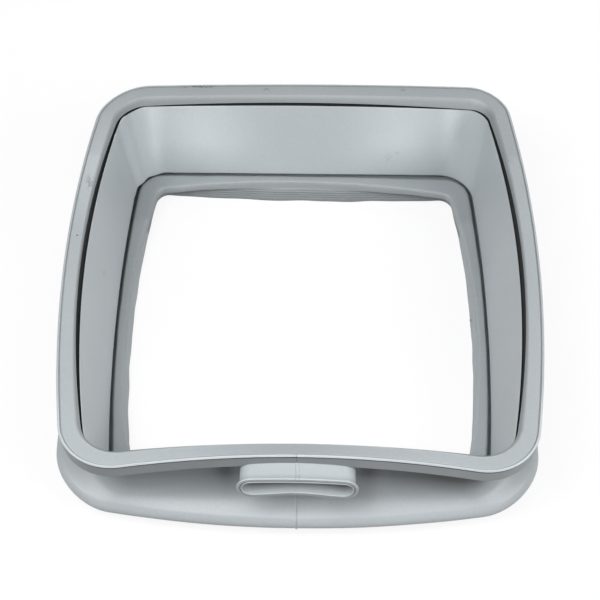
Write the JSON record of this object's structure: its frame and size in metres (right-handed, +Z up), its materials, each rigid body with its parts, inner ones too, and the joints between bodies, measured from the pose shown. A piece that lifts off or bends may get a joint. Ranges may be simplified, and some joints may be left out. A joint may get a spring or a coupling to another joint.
{
  "type": "washing machine door seal",
  "caption": "Square rubber bellows seal for a top-loading washing machine, with a grooved rim, a funnel wall, a fold, a lip with collar and a flat spout at the front.",
  "frame": {"origin": "centre of the part's footprint at the level of the collar's seat, which it stands on", "axes": "+Z up, out of the machine through the rim; the spout points to -Y, the front; +X to the right seen from the front"},
  "size_m": [0.3608, 0.3534, 0.1043],
  "materials": {
    "rubber": "satin grey moulded rubber with light handling marks"
  },
  "bodies": {
    "root": {"door_seal": "rubber"}
  },
  "joints": []
}
